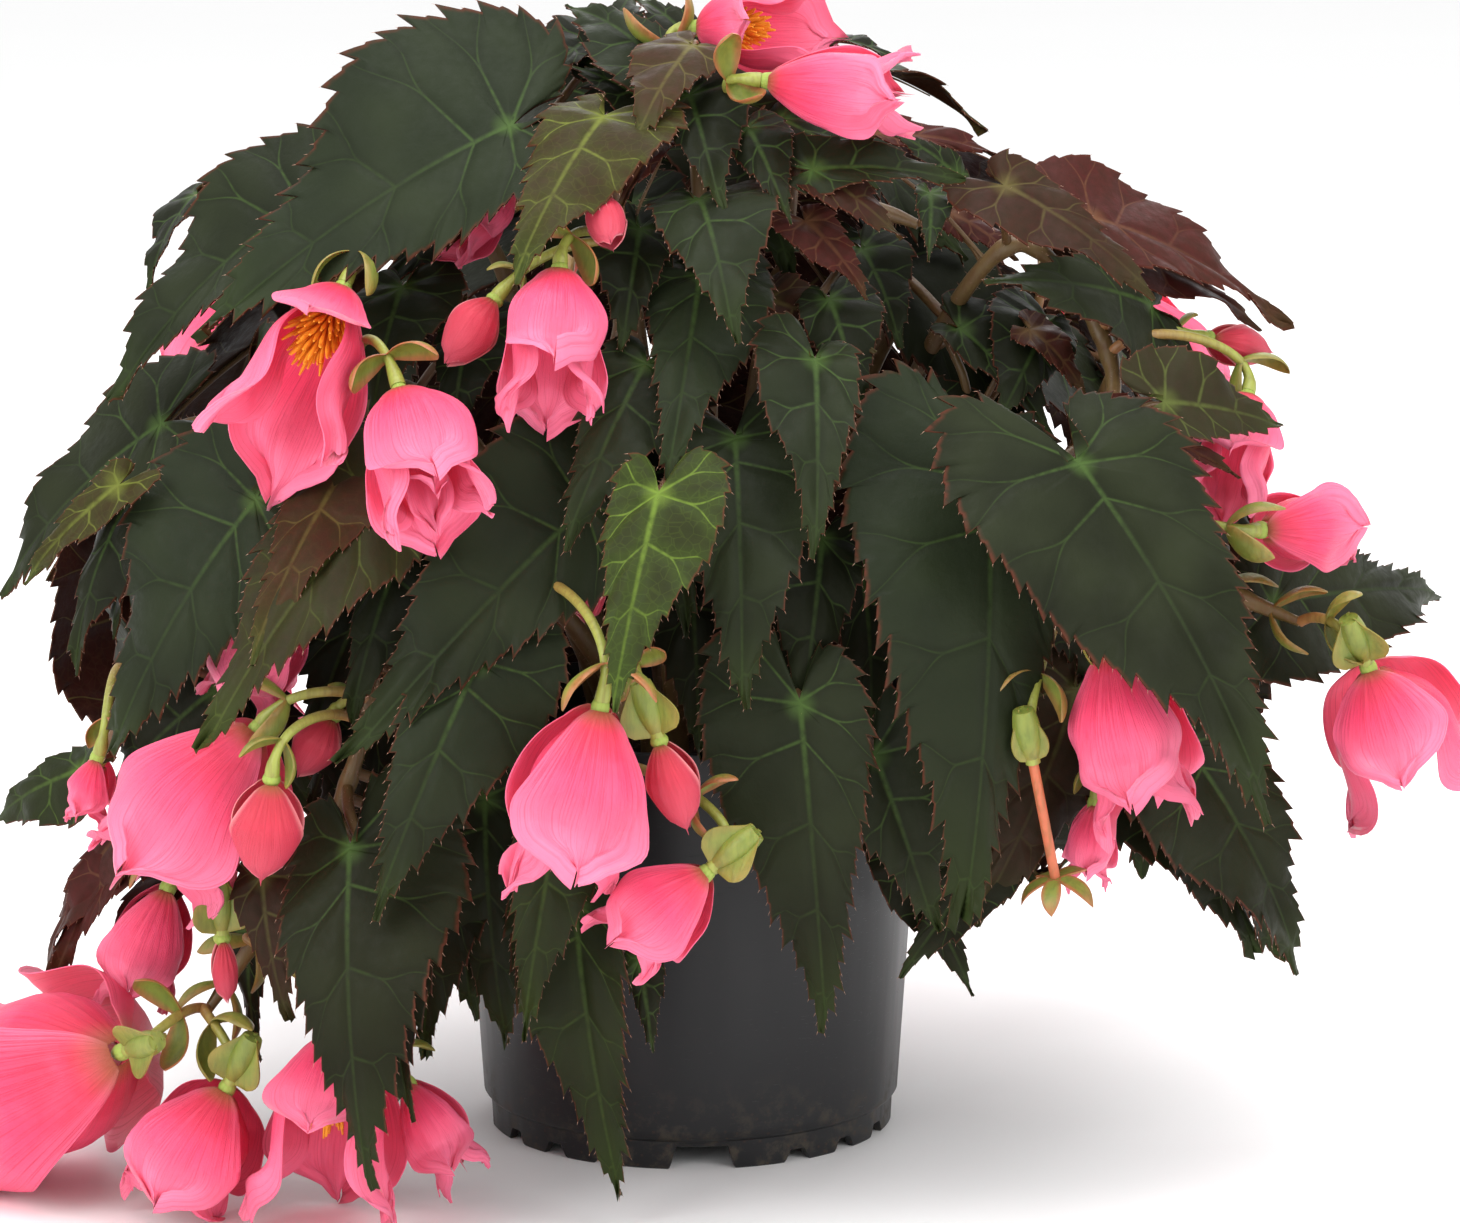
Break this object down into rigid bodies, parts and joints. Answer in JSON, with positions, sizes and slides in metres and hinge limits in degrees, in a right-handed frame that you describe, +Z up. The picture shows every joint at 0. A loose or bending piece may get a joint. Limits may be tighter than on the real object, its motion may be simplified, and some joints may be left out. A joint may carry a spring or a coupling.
{
  "type": "potted begonia",
  "caption": "Trailing begonia with toothed, long-tipped leaves and hanging pink bell blooms, in a round tapered nursery pot of soil.",
  "frame": {"origin": "on the surface the pot stands on, at the middle of the whole plant's outline, which is the pot's axis to 3 mm", "axes": "+Z up along the pot's axis; the plant's fullest side, which the picture shows, faces -Y; +X to the viewer's right"},
  "size_m": [0.401, 0.3255, 0.304],
  "materials": {
    "pot_plastic": "moulded charcoal plastic, soft gloss with faint scuffs",
    "soil": "damp peat crumbs, fully matt",
    "foliage": "dark green leaf with paler veins and red-brown toothed edge, maroon below; green-brown fleshy stalks",
    "petal": "coral-pink translucent petal, deeper towards its root",
    "stamen": "orange-yellow pollen-covered stamens"
  },
  "bodies": {
    "root": {"bloom_back_0_1": "petal", "bloom_back_0_2": "petal", "bloom_back_1_1": "petal", "bloom_back_1_2": "petal", "bloom_back_2_1": "petal", "bloom_back_2_2": "petal", "bloom_back_3_1": "petal", "bloom_back_3_2": "petal", "bloom_centre_1": "petal", "bloom_centre_2": "petal", "bloom_centre_left_1": "petal", "bloom_centre_left_2": "petal", "bloom_centre_left_3": "petal", "bloom_centre_left_4": "petal", "bloom_centre_left_5": "petal", "bloom_centre_left_6": "petal", "bloom_east_1": "petal", "bloom_east_2": "petal", "bloom_east_3": "petal", "bloom_east_4": "petal", "bloom_east_5": "petal", "bloom_east_front_1": "petal", "bloom_east_front_2": "petal", "bloom_north_1": "petal", "bloom_north_2": "petal", "bloom_southwest_1": "petal", "bloom_southwest_2": "petal", "bloom_southwest_3": "petal", "bloom_southwest_4": "petal", "bloom_southwest_5": "petal", "bloom_southwest_6": "petal", "bloom_southwest_7": "petal", "bloom_southwest_8": "petal", "bloom_southwest_9": "petal", "bloom_west_1": "petal", "bloom_west_2": "petal", "bloom_west_front_1": "petal", "bloom_west_front_2": "petal", "leafy_stem_back_0": "foliage", "leafy_stem_back_1": "foliage", "leafy_stem_back_2": "foliage", "leafy_stem_back_3": "foliage", "leafy_stem_centre": "foliage", "leafy_stem_centre_left": "foliage", "leafy_stem_crown": "foliage", "leafy_stem_east": "foliage", "leafy_stem_east_front": "foliage", "leafy_stem_north": "foliage", "leafy_stem_southeast": "foliage", "leafy_stem_southwest": "foliage", "leafy_stem_west": "foliage", "leafy_stem_west_front": "foliage", "pot": "pot_plastic", "soil": "soil", "stamens_east_5": "stamen", "stamens_north_1": "stamen", "stamens_southwest_7": "stamen", "stamens_west_1": "stamen"}
  },
  "joints": []
}
